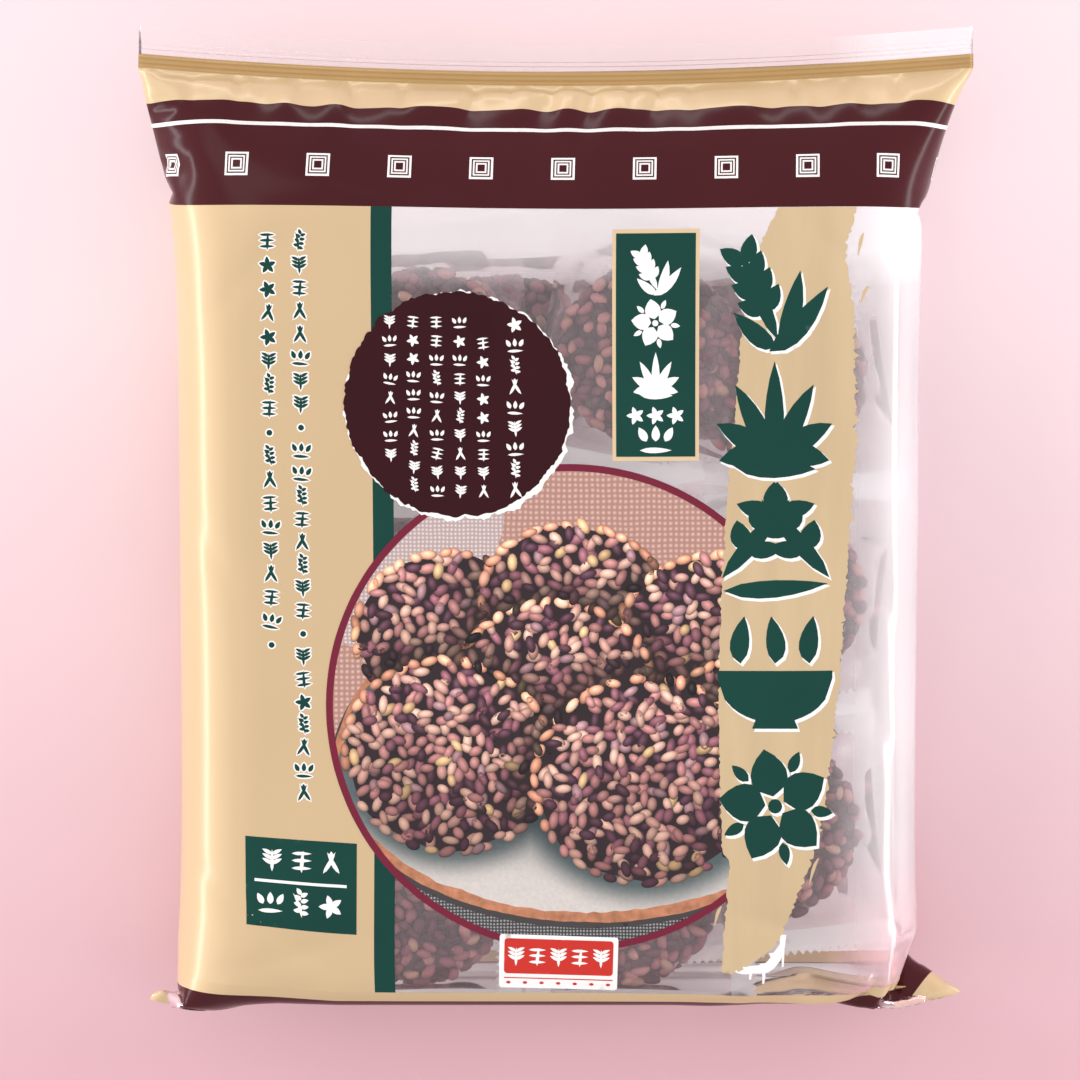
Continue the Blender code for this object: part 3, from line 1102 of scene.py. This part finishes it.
def nearness(point, by=0):
    """How near a point is to the crackers further to the front: under 1 lies beneath one."""
    least = 9.0
    for x, y, r, flat, turn in PICTURED[by:]:
        across, along = rotated(point[0] - x, point[1] - y, -turn)
        least = min(least, math.hypot(across / r, along / (r * flat)))
    return least


def dish_tone(point):
    """Colour of the pictured dish: pale at its rim, blue grey and darker under the crackers."""
    low = smooth(0.0, 1.0, (math.hypot((point[0] - 8) / 60, (point[1] + 9) / 36) - 0.55) / 0.6)
    tone = np.array([0.20, 0.22, 0.23]) * (1 - low) + np.array([0.60, 0.56, 0.53]) * low
    shadow = np.array([0.13, 0.20, 0.22])
    return tone * (shadow + (1 - shadow) * smooth(1.0, 1.32, nearness(point)))


def print_picture(inks):
    """The picture: crackers on a pale dish, on a brown mat with a pale and a dark cloth."""
    rng = np.random.default_rng(21)
    worn = np.random.default_rng(4)
    inner = PICTURE_R - 1.2
    whole = oval(*PICTURE, inner, inner, 200)
    Layer("picture_mat", inks["mat"], 0.17).add(*filled(whole)).build()
    pale = Layer("picture_pale_cloth", inks["pale_cloth"], 0.19)
    pale.add(*filled(clipped((-36, 36), 30, 17, 0.80, (-42, 40)))).build()
    dark = Layer("picture_dark_cloth", inks["dark_cloth"], 0.19)
    dark.add(*filled(clipped((4, -52), 90, 26, 0.06, (4, -60)))).build()
    shade = Layer("picture_dish_shade", inks["shade"], 0.205)
    shade.add(*filled(clipped((6, -10), 71.5, 45.4, 0.05, (6.8, -13.9)))).build()
    rim = Layer("picture_dish_rim", inks["dish_rim"], 0.22)
    rim.add(*filled(ragged(clipped((6, -8), 71.0, 45.0, 0.05, (7, -12.6)), worn, 0.16))).build()
    dish = Layer("picture_dish", inks["dish"], 0.235)
    spots, faces = filled(ragged(clipped((6, -8), 69.2, 43.2, 0.05, (7, -11.8)), worn, 0.32, 1))
    dish.add(spots, faces, [dish_tone(spot) for spot in spots - PICTURE]).build()
    ring = np.concatenate([oval(*PICTURE, radius, radius, 240) for radius in (PICTURE_R, PICTURE_R - 1.9)])
    Layer("picture_ring", inks["maroon"], 0.30).add(ring, grid_faces(2, 240, closed=True)).build()

    base = Layer("picture_cracker_dark", inks["gaps"], 0.262)
    grains = Layer("picture_grains", inks["grains"], 0.27)
    for k, (x, y, r, flat, turn) in enumerate(PICTURED):
        edge = oval(0, 0, r, r * flat, 90, turn)
        wave = 1 + 0.02 * np.sin(np.arange(90) * 2 * np.pi / 90 * 7 + k)
        outline = edge * wave[:, None] * 0.965 + np.array([x, y])
        far = np.sqrt((outline**2).sum(-1))
        outline *= np.minimum(1, (PICTURE_R - 1.5) / far)[:, None]
        base.add(*filled(PICTURE + outline), lift=0.0008 * k)
        count = int(2.15 * r * r * flat / 5.6)
        for n in range(count):
            on_rim = n < PICTURED_RIM  # the rim's grains come first
            if on_rim:
                far, angle = r * 0.985, 2 * np.pi * (n + 0.2 * rng.normal()) / PICTURED_RIM
                along = angle + np.pi / 2 + rng.normal(0, 0.35)
            else:
                far = r * 0.93 * math.sqrt((n + 0.5 - PICTURED_RIM) / (count - PICTURED_RIM))
                angle = n * GOLDEN_ANGLE + rng.normal(0, 0.05)
                far += rng.normal(0, 0.35)
                along = rng.uniform(0, np.pi)
            level = far * flat * math.sin(angle)
            at = np.array([x, y]) + rotated(far * math.cos(angle), level, turn)
            close = nearness(at, k + 1)
            hidden = close < 0.965 or PICTURE[0] + at[0] > UNDER_STRIP
            if hidden or np.sqrt((at**2).sum()) > PICTURE_R - 3.3:
                continue
            height = (level / (r * flat) + 1) / 2  # 0 at the lower side, 1 at the upper
            colour = one_of(GRAIN_INKS, rng)
            if on_rim and height > 0.35:
                colour = 0.4 * colour + 0.6 * np.array([0.72, 0.32, 0.17])
            lit = 0.08 + 0.92 * smooth(0.97, 1.36, close)
            tone = (0.55 + 0.55 * height) * rng.uniform(0.72, 1.25) * lit
            if on_rim:
                tone *= 1.0 + 0.45 * height
            a, b = rng.uniform(1.7, 2.6), rng.uniform(1.1, 1.45)
            spots, faces, tints = grain_spots(*(PICTURE + at), a, b, along + turn, colour * tone, height)
            grains.add(spots, faces, tints, lift=0.01 * int(rng.integers(0, 6)))
    base.build()
    grains.build()


# ---------------------------------------------------------------- the film itself and its seals


def build_film(clear_film):
    us = np.arange(FILM_U) * FILM_STEP - HALF_FLAT
    uu, vv = np.meshgrid(us, ALL_V)
    points = film.place(uu.ravel(), vv.ravel())
    made = new_piece("film", points, grid_faces(len(ALL_V), FILM_U, closed=True), clear_film)
    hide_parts("pack")


def build_back_seam(milky):
    """The seam that closes the tube, flat against the middle of the back."""
    us, vs = np.linspace(221.0, 231.0, 7), ALL_V[(ALL_V > 24) & (ALL_V < SEAL_V - 4)][::2]
    uu, vv = np.meshgrid(us, vs)
    lift = 0.25 + 0.1 * np.sin(vv / 9) * (uu - 221) / 10
    points = film.place(uu.ravel(), vv.ravel(), lift.ravel())
    new_piece("back_seam", points, grid_faces(len(vs), len(us)), milky)


def build_bottom_fin(ink_gold):
    """The bottom fin, folded down against the pressed end."""
    us = np.linspace(-HALF_FLAT + 6, HALF_FLAT - 6, 180)
    line = film.place(us, np.zeros_like(us))
    sheets = []
    for gap in (0.5, 0.85):
        rows = []
        for d in np.linspace(0, 1, 9):
            out = gap + 0.7 * math.sin(math.pi * min(1.0, 3 * d) / 2) + 0.25 * np.sin(us / 9) * d
            rib = 0.2 * math.sin(2 * math.pi * 10 * d / 2.5) if 0.2 < d < 0.9 else 0
            down = 10 * d
            rows.append(line + np.stack([0 * us, -out - rib + down * SLANT, 0 * us - down], -1))
        sheets.append(np.array(rows))
    grid = np.concatenate([sheets[0], sheets[1][::-1]])
    new_piece("bottom_fin", grid.reshape(-1, 3), grid_faces(len(grid), len(us)), ink_gold)


# ---------------------------------------------------------------- the contents


def capped(low, rings, high):
    """Points and faces of a blob: a point, rings of points onwards from it, and a last point."""
    rows, around = rings.shape[:2]
    points = np.concatenate([[low], rings.reshape(-1, 3), [high]])
    last = rows * around + 1
    faces = [(0, 1 + (n + 1) % around, 1 + n) for n in range(around)]
    faces += (1 + grid_faces(rows, around, closed=True)).tolist()
    top = last - around
    faces += [(top + n, top + (n + 1) % around, last) for n in range(around)]
    return points, faces


def unit_grain(around=8, rings=5):
    """A low round blob about the origin, long in x."""
    a = (np.arange(1, rings) * np.pi / rings)[:, None]
    t = np.arange(around) * 2 * np.pi / around
    a, t = np.broadcast_arrays(a, t)
    sides = np.stack([-np.cos(a), np.sin(a) * np.cos(t), np.sin(a) * np.sin(t)], -1)
    return capped((-1.0, 0, 0), sides, (1.0, 0, 0))


# Colours of the puffed grains, and how often each is used.
FOOD = (
    ((0.46, 0.20, 0.19), 5), ((0.31, 0.105, 0.12), 5), ((0.18, 0.055, 0.075), 5),
    ((0.09, 0.026, 0.04), 5), ((0.46, 0.26, 0.19), 1), ((0.035, 0.011, 0.018), 4),
)


COUNT_FACE, COUNT_RIM = 142, 42  # grains on each face of a cracker and in each row of its rim
# The cracker body's near-black colour is partly the grains' own colour and partly painted shade for the gaps
# between them.
SHADED_BODY_TONE = (0.03, 0.011, 0.014)


def cracker_mesh(rng, radius=24.0, half=3.3):
    """Points, faces and colours of a disc of puffed grains stuck together."""
    blob, blob_faces = unit_grain()
    points, faces, colours, count = [], [], [], 0
    spots = []
    for side in (1, -1):
        for n in range(COUNT_FACE):
            far = (radius - 2.2) * math.sqrt((n + 0.5) / COUNT_FACE)
            angle = n * GOLDEN_ANGLE + side + rng.normal(0, 0.06)
            z = side * half * math.sqrt(max(0.0, 1 - (far / radius) ** 6)) + rng.normal(0, 0.35)
            spots.append((far, angle, z, rng.uniform(0, math.pi), 0.0))
    for row, z in ((0, 1.6), (1, -1.6)):
        for n in range(COUNT_RIM):
            angle = 2 * math.pi * (n + 0.5 * row + 0.2 * rng.normal()) / COUNT_RIM
            far = radius - 0.9 + rng.normal(0, 0.4)
            spots.append((far, angle, z + rng.normal(0, 0.5), angle + math.pi / 2, 0.4))
    for far, angle, z, along, spread in spots:
        size = np.array([rng.uniform(1.9, 2.8), rng.uniform(1.35, 1.75), rng.uniform(1.3, 1.65)])
        p = blob * size
        p[:, 1] += rng.normal(0, 0.12) * p[:, 0] ** 2 / 2
        tilt = rng.normal(0, 0.25)
        p = p @ np.array(Matrix.Rotation(tilt, 3, "Y")).T
        p = p @ np.array(Matrix.Rotation(along + rng.normal(0, 0.3) * (spread + 0.3), 3, "Z")).T
        p += np.array([far * math.cos(angle), far * math.sin(angle), z])
        colour = one_of(FOOD, rng) * rng.uniform(0.85, 1.2)
        # Painted shade: each grain's points get darker the further in towards the core they lie, where the
        # grains shade each other.
        deep = np.clip(1.25 - 0.35 * (np.abs(z) + half - np.abs(p[:, 2])) / 1.6, 0.45, 1.1)
        points.append(p)
        faces.extend([[i + count for i in face] for face in blob_faces])
        colours.append(colour * deep[:, None])
        count += len(p)
    # The body that shows between the grains: as dark as the darkest grains, partly their own colour and
    # partly painted shade for the gaps between them.
    around = np.arange(40) * 2 * np.pi / 40
    profile = [(5, 0.9 - half), (2.5, 1.4 - half), (1.2, 0), (2.5, half - 1.4), (5, half - 0.9)]
    rings = [np.stack([(radius - r) * np.cos(around), (radius - r) * np.sin(around), 0 * around + z], -1)
             for r, z in profile]
    core, body = capped((0, 0, 0.7 - half), np.array(rings), (0, 0, half - 0.7))
    points.append(core)
    faces.extend([[i + count for i in face] for face in body])
    colours.append(np.tile(SHADED_BODY_TONE, (len(core), 1)))
    return np.concatenate(points), faces, np.concatenate(colours)


def wrapper_mesh(rng, half_x, radius=25.0):
    """Points and faces of a clear pouch round a cracker: two sheets and ribbed, zigzag ends."""
    half_y, seal = 29.0, 6.6
    xs = np.linspace(-1, 1, 57)
    ribs = np.linspace(0, seal, 13)[1:]
    ys = np.concatenate([-half_y - ribs[::-1], np.linspace(-half_y, half_y, 27), half_y + ribs])
    xx, yy = np.meshgrid(xs, ys)
    phase = rng.uniform(0, 2 * math.pi, 4)
    inside = np.abs(yy) <= half_y
    close = np.sqrt(np.clip(1 - (np.abs(yy) / half_y) ** 2, 0, 1)) * inside
    x = xx * (half_x - 2.2 * close)
    far, theta = np.hypot(x, yy), np.arctan2(yy, x)
    tent = np.where(far < radius, 1.0, np.exp(-(((far - radius) / 7.0) ** 2)))
    edge = np.sqrt(np.clip(1 - xx**6, 0, 1))
    ends = np.clip((half_y - np.abs(yy)) / 7, 0, 1) ** 0.6 * inside
    height = 6.0 * tent * edge * ends
    fold = np.sin(9 * theta + phase[0]) + 0.7 * np.sin(15 * theta + phase[1] + 0.1 * far)
    height += 0.95 * fold * np.clip((far - 15) / 10, 0, 1) * edge * ends
    height = np.maximum(height, 0.08)
    over = np.clip(np.abs(yy) - half_y, 0, seal)
    rib = 0.32 * np.sin(2 * np.pi * over / 1.1) * (over > 0.2)
    curl = 0.9 * np.sin(x / 11 + phase[2]) * smooth(half_y - 8, half_y + seal, np.abs(yy))
    teeth = 0.7 * np.where(np.arange(57) % 2, 1.0, -1.0)
    y = yy + np.sign(yy) * (over >= seal - 0.01) * teeth
    sheets = [np.stack([x, y, curl + rib + side * height], -1) for side in (1, -1)]
    faces = grid_faces(len(ys), 57)
    both = np.concatenate([faces, faces[:, ::-1] + xx.size])
    sealed = (over.reshape(-1)[faces].max(1) > 0).astype(int)
    points = np.concatenate([sheet.reshape(-1, 3) for sheet in sheets])
    return points, both.tolist(), np.concatenate([sealed, sealed])


# x, y, z and turn of each wrapped cracker, and half its wrapper's width; upper layer first.
CONTENTS = (
    (-36, 46, 33, 0.1, 31), (25, 47, 33, -0.2, 31), (60, 40, 32, 0.15, 31), (-36, -27, 33, 0.0, 31),
    (16, -22, 33, 0.2, 31), (60, -20, 31, -0.1, 31), (-38, -103.3, 32, 1.6, 28), (20, -103.3, 33, 1.55, 28),
    (59, -84, 31, 0.1, 31), (44, 46, 12, 1.3, 31), (-14, 42, 12, 1.6, 31), (-56, 10, 12, 1.5, 31),
    (54, -92, 12, 1.6, 31), (0, -70, 12, 1.4, 31),
)


def build_contents(food, wrap, seal):
    rng = np.random.default_rng(17)
    for k, (x, y, z, turn, half) in enumerate(CONTENTS, 1):
        tilt = Matrix.Rotation(rng.normal(0, 0.035), 3, "X") @ Matrix.Rotation(rng.normal(0, 0.035), 3, "Y")
        turning, place = np.array(tilt @ Matrix.Rotation(turn, 3, "Z")).T, np.array((x, y, z))
        points, faces, colours = cracker_mesh(rng)
        new_piece(f"cracker_{k:02d}", points @ turning + place, faces, food, colours)
        points, faces, sealed = wrapper_mesh(rng, half)
        new_piece(f"wrapper_{k:02d}", points @ turning + place, faces, wrap, second=(seal, sealed))


# ---------------------------------------------------------------- making it all

film = Surface(relaxed_film())

# Inks: colour, roughness, metallic, how much they vary, and over what scale.
INKS = {
    "gold": ink("cream_gold_ink", (0.60, 0.44, 0.25), 0.30, 0.10, 0.05, 14, coat=0.35),
    "crimp": ink("crimp_gold_ink", (0.47, 0.30, 0.125), 0.30, 0.25, 0.10, 60),
    "brushed": ink("brushed_gold_ink", (0.60, 0.455, 0.27), 0.32, 0.15, 0.14, 45, (3.0, 0.35, 1)),
    "cream": ink("cream_ink", (0.66, 0.50, 0.30)),
    "brown": ink("dark_brown_ink", (0.052, 0.006, 0.0085), 0.2, 0.0, 0.15, gloss=0.25),
    "disc": ink("deep_brown_ink", (0.034, 0.006, 0.009), 0.3, 0.0, 0.2, gloss=0.15),
    "green": ink("dark_green_ink", (0.005, 0.050, 0.039), 0.26, 0.0, 0.15, gloss=0.2),
    "maroon": ink("maroon_ink", (0.16, 0.004, 0.026), 0.3, 0.0, 0.1),
    "pale": ink("pale_back_ink", (0.92, 0.85, 0.87), 0.4, 0.0, 0.03),
    "white": ink("white_ink", (0.86, 0.85, 0.83), 0.3, 0.0, 0.03),
    "red": ink("red_ink", (0.56, 0.022, 0.012), 0.3, 0.0, 0.08),
    "mat": woven("picture_mat_ink", (0.40, 0.215, 0.175), (0.68, 0.45, 0.385), 1.5),
    "pale_cloth": woven("picture_pale_cloth_ink", (0.42, 0.33, 0.32), (0.78, 0.66, 0.64), 1.1),
    "dark_cloth": woven("picture_dark_cloth_ink", (0.03, 0.03, 0.032), (0.42, 0.42, 0.42), 0.9),
    "shade": ink("picture_shade_ink", (0.05, 0.045, 0.045)),
    "dish_rim": ink("picture_rim_ink", (0.46, 0.19, 0.10), 0.3, 0.0, 0.6, 420),
    "dish": tinted("picture_dish_ink", 0.3),
    "gaps": ink("picture_gap_ink", (0.022, 0.012, 0.015), 0.3, 0.0, 0.4, 120),
    "grains": tinted("picture_grain_ink", 0.3),
}

# The outer film's extra milk on its right side and under the brown band is painted glare.
build_film(
    clear(
        "clear_film", 0.06, (0.98, 0.93, 0.955), 0.12,
        side=0.48, top=0.50, low=(0.96, 0.60, 0.66), through_glow=0.3,
    )
)
build_back_seam(clear("seam_film", 0.35, (0.9, 0.88, 0.9)))
build_bottom_fin(INKS["gold"])
print_bands(INKS)
print_picture(INKS)
print_disc(INKS)
print_strip(INKS)
print_small(INKS)
print_label(INKS)
build_contents(
    tinted("puffed_grain", 0.42, 0.15, 0.5),
    clear("wrapper_film", 0.12, (0.94, 0.74, 0.79), 0.13, 1.45),
    clear("wrapper_seal_film", 0.5, (0.97, 0.94, 0.95), 0.25),
)

# ---------------------------------------------------------------- stage

scene = bpy.context.scene


def stage_floor():
    made, tree, shader = shader_of("pale_pink_backdrop")
    far = mixed(tree, noise_of(tree, 6), (0.785, 0.63, 0.66), (0.81, 0.65, 0.68))
    # Painted shade: the floor darkens towards the bottom of the view, as if less light reached it there.
    tone = mixed(tree, ramp_along(tree, "Y", -0.17, 0.05), (0.66, 0.40, 0.445), far)
    feed(tree, shader, {"Base Color": tone, "Roughness": 0.9, "Specular IOR Level": 0.0})
    mesh = bpy.data.meshes.new("floor")
    half, below = 2.5, -0.0006
    corners = [(x * half, y * half, below) for x, y in ((-1, -1), (1, -1), (1, 1), (-1, 1))]
    mesh.from_pydata(corners, [], [(0, 1, 2, 3)])
    mesh.materials.append(made)
    floor = bpy.data.objects.new("floor", mesh)
    scene.collection.objects.link(floor)


def softbox(name, at, size, watts, mirrored=True):
    """A rectangular lamp aimed at the pack; one that isn't mirrored only fills."""
    lamp = bpy.data.lights.new(name, "AREA")
    lamp.shape = "RECTANGLE"
    lamp.size, lamp.size_y = size
    lamp.energy = watts
    made = bpy.data.objects.new(name, lamp)
    made.visible_glossy = mirrored
    made.location = at
    made.rotation_euler = (Vector((0, 0, 0.02)) - Vector(at)).to_track_quat("-Z", "Y").to_euler()
    scene.collection.objects.link(made)


stage_floor()
world = bpy.data.worlds.new("studio")
world.use_nodes = True
sky = world.node_tree.nodes["Background"]
feed(world.node_tree, sky, {"Color": (1.0, 0.94, 0.955, 1), "Strength": 0.68})
scene.world = world
softbox("left_fill", (-1.05, 0.1, 0.50), (1.4, 0.5), 10, mirrored=False)
softbox("right_fill", (1.05, 0.05, 0.55), (1.4, 0.5), 10, mirrored=False)
softbox("left_strip", (-0.95, 0.1, 0.11), (1.6, 0.12), 4.2)
softbox("right_strip", (0.95, 0.05, 0.13), (1.7, 0.14), 4.5)
softbox("top_strip", (-0.3, 1.8, 0.27), (1.8, 0.20), 5)
softbox("overhead_softbox", (-0.9, 0.9, 1.6), (1.0, 1.0), 2.5)

# Thin film and its ink on the front let the light through to what is inside.
THIN = ("film", "wrapper_", "picture_", "print_")
for piece in scene.objects:
    if piece.name.startswith(THIN) and piece.name != "print_back_panel":
        piece.visible_shadow = False

camera = bpy.data.cameras.new("camera")
view = bpy.data.objects.new("camera", camera)
scene.collection.objects.link(view)
tilt = math.radians(8)  # from straight above, towards the top seal
target = Vector((-4.3, -2.4, 45.0)) * MM
distance, shown = 1.5, 0.2916  # metres to the target, and metres seen across it
away = Vector((0, math.sin(tilt), math.cos(tilt)))
up = Vector((0, math.cos(tilt), -math.sin(tilt)))
turn = Matrix(((1, up.x, away.x), (0, up.y, away.y), (0, up.z, away.z)))
view.matrix_world = Matrix.Translation(target + away * distance) @ turn.to_4x4()
camera.lens = camera.sensor_width * distance / shown
scene.camera = view
scene.view_settings.view_transform = "Standard"
scene.cycles.transparent_max_bounces = 32
